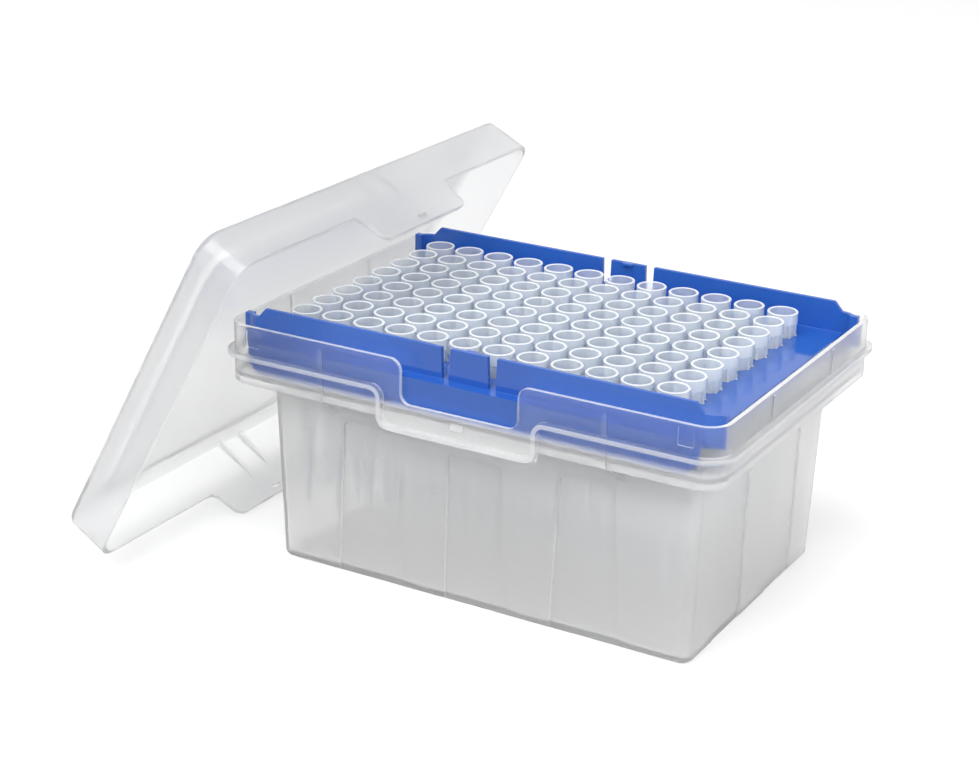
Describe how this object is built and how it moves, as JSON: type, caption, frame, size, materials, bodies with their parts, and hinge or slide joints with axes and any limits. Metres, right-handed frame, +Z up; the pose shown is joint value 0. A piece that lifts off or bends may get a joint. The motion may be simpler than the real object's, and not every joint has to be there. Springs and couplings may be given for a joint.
{
  "type": "box of pipette tips",
  "caption": "Deep translucent box with a blue clip-in rack full of clear pipette tips in a square grid, its shallow lid taken off and leaned on one end",
  "frame": {"origin": "centre of the flat foot of the base, on the surface that the box stands on", "axes": "X runs along the box, away from the end that the lid leans on; Y runs from the long side with the viewer to the far long side; Z is up"},
  "size_m": [0.1652, 0.135, 0.0939],
  "materials": {
    "base_clear": "translucent natural polypropylene, soft sheen",
    "lid_clear": "translucent natural polypropylene, soft sheen",
    "rack_blue": "glossy moulded polypropylene",
    "tips_clear": "clear polypropylene"
  },
  "bodies": {
    "root": {"base": "base_clear", "rack_tray": "rack_blue", "lid": "lid_clear", "tips_column_01": "tips_clear", "tips_column_02": "tips_clear", "tips_column_03": "tips_clear", "tips_column_04": "tips_clear", "tips_column_05": "tips_clear", "tips_column_06": "tips_clear", "tips_column_07": "tips_clear", "tips_column_08": "tips_clear", "tips_column_09": "tips_clear", "tips_column_10": "tips_clear", "tips_column_11": "tips_clear", "tips_column_12": "tips_clear"}
  },
  "joints": []
}
